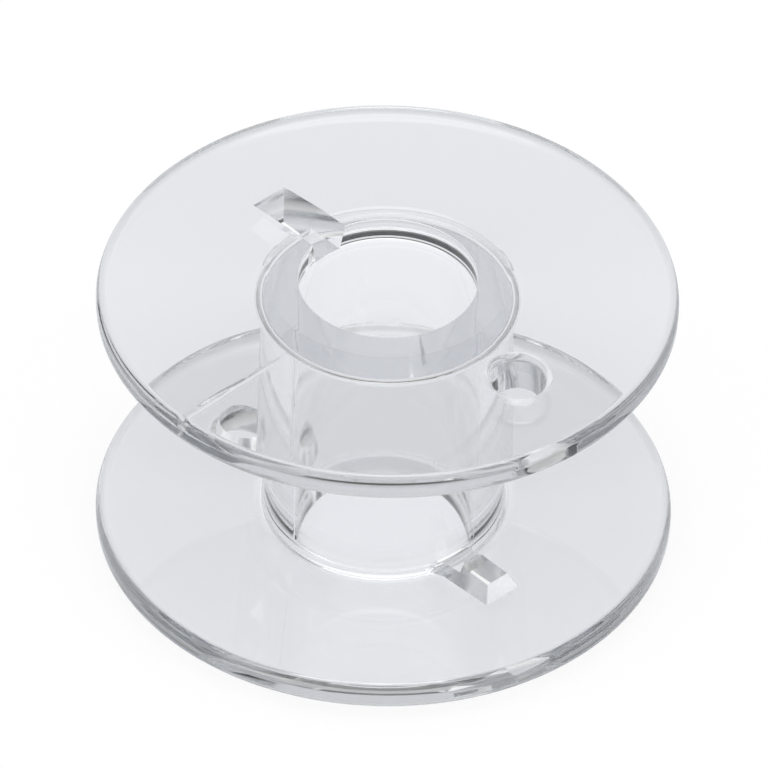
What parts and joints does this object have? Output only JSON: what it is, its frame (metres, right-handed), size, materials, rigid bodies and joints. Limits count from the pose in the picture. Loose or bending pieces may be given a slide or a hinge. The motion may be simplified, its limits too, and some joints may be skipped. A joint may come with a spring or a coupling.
{
  "type": "sewing machine bobbin",
  "caption": "Clear plastic thread bobbin: round, slightly crowned flanges on a tubular hub with a through bore, and a thread hole and a thread slot in each flange.",
  "frame": {"origin": "on the bore's axis, at the hub's lower end face, on which the bobbin rests", "axes": "+Z along the bore towards the upper flange, +X towards the upper flange's thread hole"},
  "size_m": [0.0204, 0.0204, 0.0116],
  "materials": {
    "clear_plastic": "clear, glossy"
  },
  "bodies": {
    "root": {"bobbin": "clear_plastic"}
  },
  "joints": []
}
